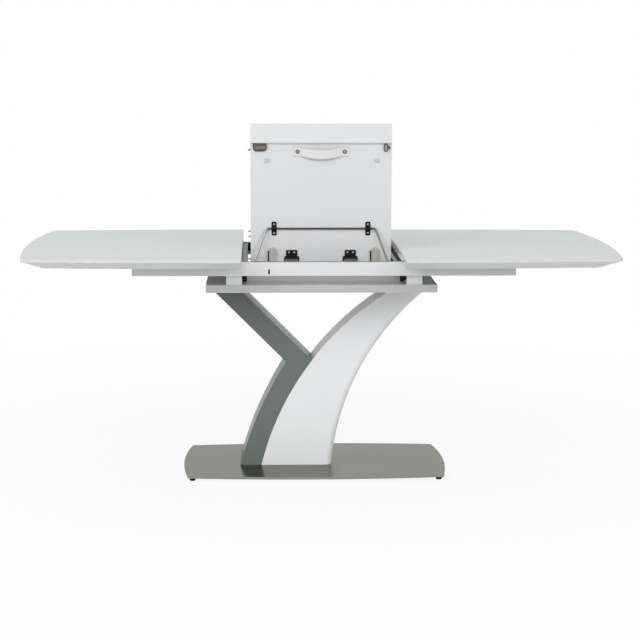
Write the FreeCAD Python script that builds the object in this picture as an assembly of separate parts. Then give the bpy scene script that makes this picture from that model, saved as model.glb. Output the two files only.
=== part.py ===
import FreeCAD, Part
import math
import os
from FreeCAD import Vector

# Extending dining table, halves pulled apart, folded leaf standing in the gap.
# Millimetres, +Z up, X along the length, front towards -Y, origin on the floor under the centre.

# Overall table
top_height = 755.0
table_depth = 900.0
half_length = 705.0
side_bow = 28.0
end_bulge = 32.0
corner_round = 12.0

# Section of the sliding halves, measured down from the top surface
glass_thick = 8.0
edge_drop = 9.0
panel_drop = 25.0
mould_drop = 35.0
bevel_run = 58.0
mould_land = 4.0
glass_arris = 1.0

# Folding leaf
leaf_width = 450.0
leaf_thick = 20.0
leaf_mould_drop = 29.0
fold_gap = 1.2
seam_gap = 0.8
leaf_face = -190.0
spine_drop = 48.0
leaf_slack = 28.5
leaf_bevel_run = 55.5

# Fixed frame, which sits a little right of the leaf
frame_shift = 8.0
frame_half_depth = 302.0
rail_reach = 351.5
rail_thick = 25.0
rail_tall = 42.5
rail_under_panel = 1.0
rail_round = 2.0
end_rail_thick = 18.0
end_rail_drop = 9.0
slot_x = -167.0
slot_width = 5.5
slot_tall = 15.0
slot_depth = 6.0
slot_above_bottom = 6.0

# Slide channels and runners
channel_deep = 12.0
channel_tall = 29.0
channel_wall = 2.5
channel_drop = 0.0
channel_end_gap = 1.0
runner_clear = 0.5
runner_web = 4.0
runner_gap = 2.5
runner_start = 38.0
runner_length = 285.0

# Bearers and upper plate
bearer_width = 50.0
bearer_tall = 30.5
bearer_inset = 16.0
plate_half_length = 366.0
plate_inset = 10.0
plate_thick = 24.0

# Side rails of the leaf well
side_clear = 20.0
side_drop = 0.5
side_width = 15.0
side_wall = 3.0
side_tall = 38.5
tab_tall = 26.0
tab_below_rail = 15.5
tab_long = 37.0
side_end_gap = 22.0
stud_radius = 6.5
stud_inset = 55.0
bearer_gap = 0.5

# Pedestal limbs, given as X at the foot, at the middle and at the top
base_shift = -14.0
limb_margin = 20.0
leg_depth = 144.0
leg_mid_height = 330.0
white_left_foot = -192.0
white_left_mid = -56.0
white_left_top = 275.0
white_right_foot = 41.0
white_right_mid = 128.0
white_right_top = 383.0
white_edge_round = 20.0
grey_left_foot = -263.0
grey_left_mid = -134.5
grey_kink_x = -110.5
grey_kink_height = 370.0
grey_arm_width = 90.5
grey_edge_round = 2.0
bolt_y = 40.0
bolt_head_radius = 6.5
bolt_head_tall = 5.0
bolt_radius = 4.0
bolt_grip = 30.0
bolt_edge = 51.0
csk_radius = 8.0
socket_radius = 2.5
socket_deep = 3.0

# Foot plate
base_half_length = 437.5
base_half_depth = 240.0
base_end_bow = 20.0
base_side_bow = 22.0
base_thick = 8.0
base_round = 8.0
foot_tall = 12.0
foot_radius = 10.0
foot_chamfer = 1.5
foot_chamfer_tall = 2.0
foot_inset_x = 34.0
foot_inset_y = 46.0

# Bail and its clips
wire_radius = 3.0
wire_offset = 4.3
clip_height = 118.0
clip_edge = 75.0
clip_width = 16.0
clip_long = 44.0
clip_thick = 2.0
clip_corner = 4.0
clip_screw_pitch = 28.0
bail_top_edge = 51.0
bail_foot_edge = 11.0
bail_bend = 9.0
bail_reach = 91.0
sleeve_radius = 4.0
sleeve_long = 18.0
bush_radius = 5.0
bush_flange_radius = 6.8
bush_flange = 2.8
bush_gap = 0.2
bush_reach = 4.0
wire_reach = 5.0
running_fit = 0.05

# Fold hinges
hinge_edge = 131.0
hinge_plate_width = 36.0
hinge_plate_thick = 2.5
hinge_plate_low = 29.5
hinge_plate_high = 49.0
hinge_corner = 3.0
hinge_shoulder = 5.0
hinge_body_width = 48.0
hinge_body_thick = 3.4
hinge_leg_thick = 2.2
hinge_seat_clear = 0.3
hinge_pin_radius = 1.2
knuckle_radius = 2.2
knuckle_half = 8.0
knuckle_clear = 0.3
hinge_screw_pitch = 17.0
hinge_screw_height = 42.0
hinge_strip_low = 12.5
hinge_strip_tall = 8.0
hinge_strip_inset = 3.0
hinge_strip_thick = 1.0

# Screws
screw_head_radius = 3.4
screw_head_tall = 1.6
screw_shank_radius = 1.6
screw_length = 8.0
screw_slot = 0.9
screw_slot_half = 0.5
screw_head_taper = 0.72
screw_overlap = 0.2

# Locating pins
pin_radius = 2.5
pin_out = 8.0
pin_in = 12.0
pin_clear = 0.4
pin_drop = 14.0
pin_hole_spare = 2.0
pin_front_low = 20.0
pin_front_mid = 109.0
pin_back_low = 89.0
pin_rim = 82.5

# Guide blocks
guide_left_edge = 59.0
guide_right_edge = 40.0
guide_width = 23.0
guide_low = 2.0
guide_high = 58.0
guide_thick = 8.0
guide_bar_width = 4.5
guide_bar_high = 46.0
guide_bar_thick = 6.0

# Pull strap
strap_half = 91.5
strap_screw_x = 75.0
strap_wide = 30.0
strap_thick = 2.0
strap_pad = 7.0
strap_rim = 87.0
strap_sag = 9.5
strap_bulge = 11.0
strap_low_share = 0.65
strap_steps = 12
washer_radius = 6.6
washer_thick = 1.0

# Latch, catch and screw covers
latch_edge = 8.0
latch_long = 44.0
latch_rim = 61.0
latch_tall = 25.0
latch_thick = 5.0
latch_round = 11.0
lever_edge = 17.0
lever_rim = 73.5
lever_long = 32.0
lever_half = 5.0
lever_gap = 0.6
lever_thick = 3.0
lever_boss = 5.7
lever_pin_radius = 2.0
lever_pin_deep = 4.0
catch_edge = 26.0
catch_wide = 13.5
catch_tall = 27.0
catch_base = 2.0
catch_high = 7.0
catch_wall = 3.0
catch_knob_edge = 8.5
catch_knob_radius = 4.0
cover_radius = 8.0
cover_thick = 4.0
cover_dome = 2.4
cover_rim = 114.5
cover_left_edge = 51.0
cover_right_edge = 48.0

# How far a cut runs past the face it opens
past = 1.0

# Places that follow from the sizes
half_depth = table_depth / 2
leaf_half = leaf_width / 2
inner_edge = leaf_half + leaf_slack
spine_height = top_height - spine_drop
panel_under = top_height - panel_drop
rail_top = panel_under - rail_under_panel
rail_bottom = rail_top - rail_tall
rail_half_length = inner_edge + rail_reach
rail_outer = frame_half_depth
rail_inner = rail_outer - rail_thick
bearer_front = rail_outer - bearer_inset
plate_half_depth = rail_outer - plate_inset
plate_top = rail_bottom - bearer_tall
plate_bottom = plate_top - plate_thick
base_top = foot_tall + base_thick
side_top = rail_top - side_drop
side_bottom = side_top - side_tall
side_inner = leaf_half + side_clear
side_outer = side_inner + side_width
side_half_length = rail_inner - side_end_gap
tab_start = rail_inner - tab_long
stud_y = side_half_length - stud_inset
tab_bottom = rail_bottom - tab_below_rail
leg_half = leg_depth / 2
leaf_board = leaf_thick - glass_thick
back_face = leaf_face + 2 * leaf_thick + fold_gap
fold_depth = leaf_thick + fold_gap / 2
fold_height = -seam_gap / 2
pin_level = top_height - pin_drop
front_pin_heights = (pin_front_low, pin_front_mid, half_depth - pin_rim)
back_pin_heights = (pin_back_low, half_depth - pin_rim)
hinge_x = leaf_half - hinge_edge
clip_x = leaf_half - clip_edge
bail_top_x = leaf_half - bail_top_edge
bail_foot_x = leaf_half - bail_foot_edge
guide_left_x = guide_left_edge - leaf_half
guide_right_x = leaf_half - guide_right_edge - guide_width
strap_height = half_depth - strap_rim
latch_x0 = latch_edge - leaf_half
latch_low = half_depth - latch_rim - latch_tall
lever_pivot_x = lever_edge - leaf_half
lever_pivot_height = half_depth - lever_rim
catch_x0 = leaf_half - catch_edge
catch_knob_x = leaf_half - catch_knob_edge
cover_height = half_depth - cover_rim
cover_left_x = cover_left_edge - leaf_half
cover_right_x = leaf_half - cover_right_edge
channel_top = rail_top - channel_drop
channel_bottom = channel_top - channel_tall
channel_inner = rail_inner - channel_deep

# Bail pivot: as far from the photographed clip as from the clip of the leaf laid flat
clip_y = leaf_face - wire_offset
clip_z = spine_height + clip_height
flat_y = -clip_height - seam_gap / 2
flat_z = top_height - leaf_thick - wire_offset
chord = math.hypot(flat_y - clip_y, flat_z - clip_z)
pivot_y = (clip_y + flat_y) / 2 - bail_reach * (clip_z - flat_z) / chord
pivot_z = (clip_z + flat_z) / 2 - bail_reach * (flat_y - clip_y) / chord

os.makedirs("parts", exist_ok=True)


def save(shape, node):
    """Write one solid or one group of like solids."""
    shape.exportStep("parts/" + node + ".step")


def box(x0, x1, y0, y1, z0, z1):
    """Box between two corners given in any order."""
    low = Vector(min(x0, x1), min(y0, y1), min(z0, z1))
    return Part.makeBox(abs(x1 - x0), abs(y1 - y0), abs(z1 - z0), low)


def rod(radius, start, end):
    """Round bar between two points."""
    along = end - start
    return Part.makeCylinder(radius, along.Length, start, along)


def rounded(shape, radius, wanted):
    """Fillet the edges whose middle the test accepts."""
    edges = [e for e in shape.Edges if wanted(e)]
    return shape.makeFillet(radius, edges)


def middle(edge):
    """Point halfway along an edge."""
    return edge.valueAt((edge.FirstParameter + edge.LastParameter) / 2)


def runs_along(edge, axis):
    """True for a straight edge parallel to an axis."""
    if edge.Curve.TypeId != "Part::GeomLine":
        return False
    return abs(edge.Curve.Direction.dot(axis)) > 0.999


def prism(points, direction):
    """Closed polygon pushed along a vector."""
    return Part.Face(Part.makePolygon(points + [points[0]])).extrude(direction)


def bent(p, q, r):
    """Arc edge through three points."""
    return Part.Arc(p, q, r).toShape()


AXIS_X = Vector(1, 0, 0)
AXIS_Y = Vector(0, 1, 0)
AXIS_Z = Vector(0, 0, 1)


# Sliding halves
def half_outline(side, inset, level, start=0.0):
    """Outline of a half: straight inner edge, bowed sides, curved end, rounded corners."""
    corner_s = half_length - end_bulge - inset
    corner_y = half_depth - side_bow - inset

    def point(s, y):
        return Vector(side * (inner_edge + s), y, level)

    def flank(s):
        return half_depth - inset - side_bow * (s / corner_s) ** 2

    def tip(y):
        return half_length - inset - end_bulge * (y / corner_y) ** 2

    turn_s = corner_s - corner_round
    turn_y = corner_y - corner_round
    cut = corner_round * (1 - math.sqrt(0.5))
    edges = [Part.makeLine(point(start, -flank(0)), point(start, flank(0)))]
    if start < 0:
        edges.append(Part.makeLine(point(start, flank(0)), point(0, flank(0))))
    side_mid = flank(turn_s / 2)
    side_end = flank(turn_s)
    end_s = tip(turn_y)
    edges.append(bent(point(0, flank(0)), point(turn_s / 2, side_mid), point(turn_s, side_end)))
    edges.append(bent(point(turn_s, side_end), point(corner_s - cut, corner_y - cut), point(end_s, turn_y)))
    edges.append(bent(point(end_s, turn_y), point(half_length - inset, 0), point(end_s, -turn_y)))
    edges.append(bent(point(end_s, -turn_y), point(corner_s - cut, cut - corner_y), point(turn_s, -side_end)))
    edges.append(bent(point(turn_s, -side_end), point(turn_s / 2, -side_mid), point(0, -flank(0))))
    if start < 0:
        edges.append(Part.makeLine(point(0, -flank(0)), point(start, -flank(0))))
    return Part.Wire(edges)


def half_glass(side):
    """Glass plate with a ground top arris."""
    shoulder = top_height - glass_arris
    pane = Part.Face(half_outline(side, 0, top_height - glass_thick))
    plate = pane.extrude(Vector(0, 0, glass_thick - glass_arris))
    rims = [half_outline(side, 0, shoulder), half_outline(side, glass_arris, top_height)]
    return plate.fuse(Part.makeLoft(rims, True, True)).removeSplitter()


def half_board(side):
    """Board with an under-bevelled rim and a flat recess for the slides."""
    rim_top = top_height - edge_drop
    rim_low = top_height - mould_drop
    strip = Part.Face(half_outline(side, 0, rim_top)).extrude(Vector(0, 0, edge_drop - glass_thick))
    bevel = Part.makeLoft([half_outline(side, 0, rim_top), half_outline(side, bevel_run, rim_low)], True, True)
    floor = Part.Face(half_outline(side, bevel_run + mould_land, rim_low - past, -past))
    recess = floor.extrude(Vector(0, 0, mould_drop - panel_drop + past))
    return strip.fuse(bevel).cut(recess).removeSplitter()


def pin_places():
    """Y of each locating pin with the leaf laid flat."""
    half_seam = seam_gap / 2
    return [-u - half_seam for u in front_pin_heights] + [u + half_seam for u in back_pin_heights]


def round_pin(start, out):
    """Locating pin with a domed end, pointing out along X."""
    body = rod(pin_radius, start - out * pin_in, start + out * (pin_out - pin_radius))
    return body.fuse(Part.makeSphere(pin_radius, start + out * (pin_out - pin_radius))).removeSplitter()


def runner(side, face):
    """Runner bar: a tongue in the channel and a web up to the panel."""
    x0 = side * (inner_edge + runner_start)
    x1 = x0 + side * runner_length
    low = channel_bottom + channel_wall + runner_clear
    high = channel_top - channel_wall - runner_clear
    tongue_end = rail_inner - channel_wall - runner_clear
    web_out = channel_inner - runner_clear - runner_gap
    tongue = box(x0, x1, face * web_out, face * tongue_end, low, high)
    web = box(x0, x1, face * (web_out - runner_web), face * web_out, low, panel_under)
    return tongue.fuse(web).removeSplitter()


for name, side in (("left", -1), ("right", 1)):
    board = half_board(side)
    edge_x = Vector(side * inner_edge, 0, pin_level)
    into = Vector(side, 0, 0)
    pins = []
    for place in pin_places():
        mouth = edge_x + Vector(0, place, 0)
        if side < 0:
            bottom = mouth + into * (pin_out + pin_hole_spare)
            board = board.cut(rod(pin_radius + pin_clear, mouth - into * past, bottom))
        else:
            pin = round_pin(mouth, into * -1)
            board = board.cut(pin)
            pins.append(pin)
    save(board, name + "_board")
    save(half_glass(side), name + "_glass")
    save(runner(side, -1), name + "_runner_front")
    save(runner(side, 1), name + "_runner_back")
    if pins:
        save(Part.makeCompound(pins), "right_pins")


# Fixed frame
def long_rail(face):
    """Long rail with softened long edges."""
    x0 = frame_shift - rail_half_length
    x1 = frame_shift + rail_half_length
    rail = box(x0, x1, face * rail_inner, face * rail_outer, rail_bottom, rail_top)
    mid_thick = (rail_inner + rail_outer) / 2
    return rounded(rail, rail_round, lambda e: runs_along(e, AXIS_X) and abs(middle(e).y) > mid_thick)


def channel(face):
    """Slide channel, open towards the middle of the table."""
    reach = rail_half_length - end_rail_thick - channel_end_gap
    x0 = frame_shift - reach
    x1 = frame_shift + reach
    outer = box(x0, x1, face * channel_inner, face * rail_inner, channel_bottom, channel_top)
    room = box(x0 - past, x1 + past, face * (channel_inner - past), face * (rail_inner - channel_wall),
               channel_bottom + channel_wall, channel_top - channel_wall)
    return outer.cut(room)


slot_low = rail_bottom + slot_above_bottom
slot_left = slot_x - slot_width / 2
slot_right = slot_x + slot_width / 2
slot_back = -rail_outer + slot_depth
slot_cut = box(slot_left, slot_right, -rail_outer - past, slot_back, slot_low, slot_low + slot_tall)
slot_plug = box(slot_left, slot_right, -rail_outer + past, slot_back, slot_low, slot_low + slot_tall)
save(long_rail(-1).cut(slot_cut), "front_rail")
save(slot_plug, "rail_slot_plug")
save(long_rail(1), "back_rail")
save(channel(-1), "channel_front")
save(channel(1), "channel_back")


def side_rail(side):
    """Channel section beside the leaf well, open outwards."""
    x0 = frame_shift + side * side_inner
    x1 = frame_shift + side * side_outer
    body = box(x0, x1, -side_half_length, side_half_length, side_bottom, side_top)
    hollow = box(x0 + side * side_wall, x1 + side * past, -side_half_length - past, side_half_length + past,
                 side_bottom + side_wall, side_top - side_wall)
    body = body.cut(hollow)
    eye_start = Vector(x0 - side * past, pivot_y, pivot_z)
    eye_end = Vector(x1 + side * past, pivot_y, pivot_z)
    return body.cut(rod(bush_radius + running_fit, eye_start, eye_end)).removeSplitter()


def end_block(side, face, rail):
    """Moulded block that plugs into a side rail and reaches the long rail."""
    x0 = frame_shift + side * side_inner
    x1 = frame_shift + side * side_outer
    block = box(x0, x1, face * tab_start, face * rail_inner, tab_bottom, tab_bottom + tab_tall)
    return block.cut(rail)


blocks = []
for name, side in (("left", -1), ("right", 1)):
    rail = side_rail(side)
    blocks += [end_block(side, face, rail) for face in (-1, 1)]
    save(rail, "side_rail_" + name)
    bearer_x0 = frame_shift + side * (side_outer + bearer_gap)
    bearer_x1 = bearer_x0 + side * bearer_width
    bearer = box(bearer_x0, bearer_x1, -bearer_front, bearer_front, plate_top, rail_bottom)
    bearer = rounded(bearer, rail_round, lambda e: runs_along(e, AXIS_Z))
    save(bearer, "bearer_" + name)
    end_x = frame_shift + side * rail_half_length
    end_rail = box(end_x - side * end_rail_thick, end_x, -rail_inner, rail_inner, rail_bottom,
                   rail_top - end_rail_drop)
    save(end_rail, "end_rail_" + name)

save(Part.makeCompound(blocks), "side_end_blocks")

studs = []
for sx in (-1, 1):
    for sy in (-1, 1):
        foot = Vector(frame_shift + sx * (side_inner + side_width / 2), sy * stud_y, plate_top)
        studs.append(rod(stud_radius, foot, foot + Vector(0, 0, side_bottom - plate_top)))
save(Part.makeCompound(studs), "side_studs")


# Pedestal
def on_front(x, z):
    """Point on the front plane of the limbs."""
    return Vector(x, -leg_half, z)


def line(p, q):
    """Straight edge."""
    return Part.makeLine(p, q)


limb_heights = (base_top, leg_mid_height, plate_bottom)
wl = [on_front(x, z) for x, z in zip((white_left_foot, white_left_mid, white_left_top), limb_heights)]
wr = [on_front(x, z) for x, z in zip((white_right_foot, white_right_mid, white_right_top), limb_heights)]
white_edges = [bent(*wl), line(wl[2], wr[2]), bent(wr[2], wr[1], wr[0]), line(wr[0], wl[0])]
white_block = Part.Face(Part.Wire(white_edges)).extrude(Vector(0, leg_depth, 0))


def outer_limb_edge(edge):
    """Long curved edges on the outer side of the white limb."""
    p = middle(edge)
    clear_of_ends = base_top + limb_margin < p.z < plate_bottom - limb_margin
    return p.x > white_left_mid + 2 * limb_margin and clear_of_ends and edge.Length > leg_mid_height


white_leg = rounded(white_block, white_edge_round, outer_limb_edge)

# The dark limb is drawn past the joint and trimmed by the white one
arm_left = on_front(grey_kink_x - (plate_bottom - grey_kink_height), plate_bottom)
arm_right = arm_left + Vector(grey_arm_width, 0, 0)
arm_drop = plate_bottom - leg_mid_height
inside_top = arm_right + Vector(arm_drop, 0, -arm_drop)
inside_foot = on_front((white_left_foot + white_right_foot) / 2, base_top)
kink = on_front(grey_kink_x, grey_kink_height)
shin = [on_front(grey_left_foot, base_top), on_front(grey_left_mid, leg_mid_height), kink]
grey_edges = [line(arm_left, arm_right), line(arm_right, inside_top), line(inside_top, inside_foot),
              line(inside_foot, shin[0]), bent(*shin), line(kink, arm_left)]
grey_block = Part.Face(Part.Wire(grey_edges)).extrude(Vector(0, leg_depth, 0)).cut(white_block)
grey_leg = max(grey_block.Solids, key=lambda s: s.Volume)


def base_outline(level):
    """Bowed outline of the foot plate."""
    cx = base_half_length - base_end_bow
    cy = base_half_depth - base_side_bow

    def at(x, y):
        return Vector(base_shift + x, y, level)

    return Part.Wire([bent(at(-cx, -cy), at(0, -base_half_depth), at(cx, -cy)),
                      bent(at(cx, -cy), at(base_half_length, 0), at(cx, cy)),
                      bent(at(cx, cy), at(0, base_half_depth), at(-cx, cy)),
                      bent(at(-cx, cy), at(-base_half_length, 0), at(-cx, -cy))])


base_plate = Part.Face(base_outline(foot_tall)).extrude(Vector(0, 0, base_thick))
base_plate = rounded(base_plate, base_round, lambda e: runs_along(e, AXIS_Z))
upper_plate = box(-plate_half_length, plate_half_length, -plate_half_depth, plate_half_depth,
                  plate_bottom, plate_top)
upper_plate = rounded(upper_plate, rail_round, lambda e: runs_along(e, AXIS_Z))

bolts = []
bolt_xs = ((grey_left_foot + white_left_foot) / 2, white_left_foot + bolt_edge, white_right_foot - bolt_edge)
for bx in bolt_xs:
    for by in (-bolt_y, bolt_y):
        head = rod(bolt_head_radius, Vector(bx, by, foot_tall - bolt_head_tall), Vector(bx, by, foot_tall))
        shank = rod(bolt_radius, Vector(bx, by, foot_tall - past), Vector(bx, by, base_top + bolt_grip))
        bolts.append(head.fuse(shank).removeSplitter())
        base_plate = base_plate.cut(shank)
        if bx < white_left_foot:
            grey_leg = grey_leg.cut(shank)
        else:
            white_leg = white_leg.cut(shank)

screws = []
for bx in ((arm_left.x + arm_right.x) / 2, (white_left_top + white_right_top) / 2):
    for by in (-bolt_y, bolt_y):
        sink = csk_radius - bolt_radius
        head = Part.makeCone(bolt_radius, csk_radius, sink, Vector(bx, by, plate_top - sink), AXIS_Z)
        shank = rod(bolt_radius, Vector(bx, by, plate_bottom - bolt_grip), Vector(bx, by, plate_top - sink / 2))
        whole = head.fuse(shank).removeSplitter()
        upper_plate = upper_plate.cut(whole)
        if bx < 0:
            grey_leg = grey_leg.cut(shank)
        else:
            white_leg = white_leg.cut(shank)
        socket = rod(socket_radius, Vector(bx, by, plate_top - socket_deep), Vector(bx, by, plate_top + past))
        screws.append(whole.cut(socket))

save(base_plate, "base_plate")
save(upper_plate, "upper_plate")
save(white_leg, "white_leg")
save(grey_leg, "grey_leg")
save(Part.makeCompound(bolts), "leg_bolts")
save(Part.makeCompound(screws), "plate_screws")

foot_number = 0
for fx in (-1, 1):
    for fy in (-1, 1):
        foot_number += 1
        spot_x = base_shift + fx * (base_half_length - foot_inset_x)
        spot = Vector(spot_x, fy * (base_half_depth - foot_inset_y), 0)
        collar = spot + AXIS_Z * foot_chamfer_tall
        glide = Part.makeCone(foot_radius - foot_chamfer, foot_radius, foot_chamfer_tall, spot, AXIS_Z)
        glide = glide.fuse(rod(foot_radius, collar, spot + AXIS_Z * foot_tall))
        save(glide.removeSplitter(), "base_foot_" + str(foot_number))


# Leaf
class Side:
    """One half of the leaf: maps depth into the panel and height above the fold to space."""

    def __init__(self, face, inward):
        self.face = face
        self.inward = inward

    def at(self, x, depth, up):
        return Vector(x, self.face + self.inward * depth, spine_height + up)

    def block(self, x0, x1, d0, d1, u0, u1):
        p = self.at(x0, d0, u0)
        q = self.at(x1, d1, u1)
        return box(p.x, q.x, p.y, q.y, p.z, q.z)


FRONT = Side(leaf_face, 1)
BACK = Side(back_face, -1)


def leaf_panel(half):
    """Leaf board: flat, with a bevelled rim along its outer edge."""
    outer = half_depth
    step = outer - leaf_bevel_run
    rim = leaf_thick - leaf_mould_drop
    corners = [(leaf_board, 0), (leaf_board, outer), (leaf_thick - edge_drop, outer), (rim, step),
               (rim, step - mould_land), (0, step - mould_land), (0, 0)]
    points = [half.at(-leaf_half, d, u) for d, u in corners]
    return prism(points, Vector(leaf_width, 0, 0))


def leaf_glass(half):
    """Glass face of a leaf half."""
    pane = half.block(-leaf_half, leaf_half, leaf_board, leaf_thick, 0, half_depth)
    return pane.cut(fold_seat(half, -hinge_x)).cut(fold_seat(half, hinge_x))


def face_screw(half, x, up, seat):
    """Pan-head screw driven into the underside through a plate of thickness seat."""
    top = half.at(x, -seat - screw_head_tall, up)
    under = half.at(x, -seat, up)
    crown = screw_head_radius * screw_head_taper
    head = Part.makeCone(screw_head_radius, crown, screw_head_tall, under, top - under)
    slot = half.block(x - screw_head_radius, x + screw_head_radius, -seat - screw_head_tall - past,
                      -seat - screw_head_tall + screw_slot, up - screw_slot_half, up + screw_slot_half)
    shank = rod(screw_shank_radius, half.at(x, -seat - screw_overlap, up), half.at(x, screw_length - seat, up))
    return head.cut(slot).fuse(shank).removeSplitter(), shank


def fold_axis(half, x):
    """Point of the fold line at one place across the leaf."""
    return half.at(x, fold_depth, fold_height)


def fold_seat(half, x):
    """Cut in the fold edge that takes the hinge leg."""
    reach = hinge_body_width / 2 + hinge_seat_clear
    return half.block(x - reach, x + reach, -past, leaf_thick + past, -past, hinge_leg_thick + hinge_seat_clear)


def hinge_plate(half, x, spans, gaps, bore_radius):
    """Angled hinge leaf: plate on the underside, leg across the fold edge, knuckles on the fold line."""
    body_half = hinge_body_width / 2
    plate = half.block(x - hinge_plate_width / 2, x + hinge_plate_width / 2, -hinge_plate_thick, 0,
                       hinge_plate_low - past, hinge_plate_high)
    plate_mid = spine_height + (hinge_plate_low + hinge_plate_high) / 2
    plate = rounded(plate, hinge_corner, lambda e: runs_along(e, AXIS_Y) and middle(e).z > plate_mid)
    body = half.block(x - body_half, x + body_half, -hinge_body_thick, 0, 0, hinge_plate_low)
    body_mid = spine_height + hinge_plate_low / 2
    body = rounded(body, hinge_shoulder, lambda e: runs_along(e, AXIS_Y) and middle(e).z > body_mid)
    leg = half.block(x - body_half, x + body_half, -hinge_body_thick, leaf_thick, 0, hinge_leg_thick)
    leaf = plate.fuse([body, leg])
    for lo, hi in gaps:
        leaf = leaf.cut(rod(knuckle_radius + knuckle_clear, fold_axis(half, x + lo), fold_axis(half, x + hi)))
    for lo, hi in spans:
        leaf = leaf.fuse(rod(knuckle_radius, fold_axis(half, x + lo), fold_axis(half, x + hi)))
    bore = rod(bore_radius, fold_axis(half, x - body_half - past), fold_axis(half, x + body_half + past))
    return leaf.cut(bore).removeSplitter()


def hinge_pin(x):
    """Pin of one fold hinge."""
    reach = hinge_body_width / 2
    return rod(hinge_pin_radius, fold_axis(FRONT, x - reach), fold_axis(FRONT, x + reach))


def hinge_strip(x):
    """Bright strip on the front hinge body."""
    reach = hinge_body_width / 2 - hinge_strip_inset
    return FRONT.block(x - reach, x + reach, -hinge_body_thick - hinge_strip_thick, -hinge_body_thick,
                       hinge_strip_low, hinge_strip_low + hinge_strip_tall)


front_board = leaf_panel(FRONT)
back_board = leaf_panel(BACK)
pin_depth = leaf_thick - pin_drop
board_pins = {"front": [], "back": []}
for key, half, heights in (("front", FRONT, front_pin_heights), ("back", BACK, back_pin_heights)):
    for up in heights:
        pin = round_pin(half.at(-leaf_half, pin_depth, up), Vector(-1, 0, 0))
        hole_end = half.at(leaf_half - pin_out - pin_hole_spare, pin_depth, up)
        hole = rod(pin_radius + pin_clear, hole_end, half.at(leaf_half + past, pin_depth, up))
        board_pins[key].append(pin)
        if key == "front":
            front_board = front_board.cut(pin).cut(hole)
        else:
            back_board = back_board.cut(pin).cut(hole)
    save(Part.makeCompound(board_pins[key]), "leaf_" + key + "_pins")

front_screws = []
back_screws = []
for side_name, sx in (("left", -1), ("right", 1)):
    hx = sx * hinge_x
    reach = hinge_body_width / 2
    gap_end = knuckle_half + knuckle_clear
    inner = [(-knuckle_half, knuckle_half)]
    outer = [(-reach, -gap_end), (gap_end, reach)]
    inner_room = [(-gap_end, gap_end)]
    outer_room = [(-reach - past, -knuckle_half), (knuckle_half, reach + past)]
    front_plate = hinge_plate(FRONT, hx, inner, outer_room, hinge_pin_radius)
    back_plate = hinge_plate(BACK, hx, outer, inner_room, hinge_pin_radius + running_fit)
    front_board = front_board.cut(fold_seat(FRONT, hx))
    back_board = back_board.cut(fold_seat(BACK, hx))
    for dx in (-hinge_screw_pitch / 2, hinge_screw_pitch / 2):
        screw, shank = face_screw(FRONT, hx + dx, hinge_screw_height, hinge_plate_thick)
        front_screws.append(screw)
        front_plate = front_plate.cut(shank)
        front_board = front_board.cut(shank)
        screw, shank = face_screw(BACK, hx + dx, hinge_screw_height, hinge_plate_thick)
        back_screws.append(screw)
        back_plate = back_plate.cut(shank)
        back_board = back_board.cut(shank)
    save(front_plate, "hinge_front_" + side_name)
    save(back_plate, "hinge_back_" + side_name)
save(Part.makeCompound([hinge_pin(-hinge_x), hinge_pin(hinge_x)]), "hinge_pins")
save(Part.makeCompound([hinge_strip(-hinge_x), hinge_strip(hinge_x)]), "hinge_strips")


# Bail, its clips, sleeves and bushes
def clip(x):
    """Saddle strap over the sleeve, with a screw at each end."""
    half_w = clip_width / 2
    low = clip_height - clip_long / 2
    strap = FRONT.block(x - half_w, x + half_w, -clip_thick, 0, low, low + clip_long)
    strap = rounded(strap, clip_corner, lambda e: runs_along(e, AXIS_Y))
    bore = sleeve_radius + running_fit
    a = Vector(x - half_w, clip_y, clip_z)
    b = Vector(x + half_w, clip_y, clip_z)
    strap = strap.fuse(rod(bore + clip_thick, a, b))
    strap = strap.cut(rod(bore, a - AXIS_X, b + AXIS_X))
    reach = half_w + past
    throat = FRONT.block(x - reach, x + reach, -wire_offset, 0, clip_height - bore, clip_height + bore)
    strap = strap.cut(throat)
    behind = FRONT.block(x - reach, x + reach, 0, leaf_thick, low - past, low + clip_long + past)
    return strap.cut(behind).removeSplitter()


def tube(inner, outer, start, end):
    """Round sleeve."""
    return rod(outer, start, end).cut(rod(inner, start, end))


sleeves = []
bushes = []
for side_name, sx in (("left", -1), ("right", 1)):
    cx = sx * clip_x
    strap = clip(cx)
    for du in (-clip_screw_pitch / 2, clip_screw_pitch / 2):
        screw, shank = face_screw(FRONT, cx, clip_height + du, clip_thick)
        front_screws.append(screw)
        strap = strap.cut(shank)
        front_board = front_board.cut(shank)
    save(strap, "clip_" + side_name)
    sleeves.append(tube(wire_radius + running_fit, sleeve_radius, Vector(cx - sleeve_long / 2, clip_y, clip_z),
                        Vector(cx + sleeve_long / 2, clip_y, clip_z)))
    neck = Vector(frame_shift + sx * (side_inner - bush_gap), pivot_y, pivot_z)
    flange = neck - AXIS_X * (sx * bush_flange)
    tail = neck + AXIS_X * (sx * (bush_gap + side_wall + bush_reach))
    bush = rod(bush_radius, flange, tail).fuse(rod(bush_flange_radius, flange, neck))
    bush = bush.cut(rod(wire_radius + running_fit, flange - AXIS_X * (sx * past), tail + AXIS_X * (sx * past)))
    bushes.append(bush.removeSplitter())
save(Part.makeCompound(sleeves), "bail_sleeves")
save(Part.makeCompound(bushes), "bail_bushes")


def bent_path(points, radius):
    """Straight runs joined by tangent arcs."""
    edges = []
    last = points[0]
    for i in range(1, len(points) - 1):
        corner = points[i]
        before = (points[i - 1] - corner).normalize()
        after = (points[i + 1] - corner).normalize()
        turn = math.acos(max(-1.0, min(1.0, before.dot(after))))
        back = radius / math.tan(turn / 2)
        enter = corner + before * back
        leave = corner + after * back
        bisector = (before + after).normalize()
        centre = corner + bisector * (radius / math.sin(turn / 2))
        crown = centre - bisector * radius
        edges.append(line(last, enter))
        edges.append(bent(enter, crown, leave))
        last = leave
    edges.append(line(last, points[-1]))
    return Part.Wire(edges)


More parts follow.
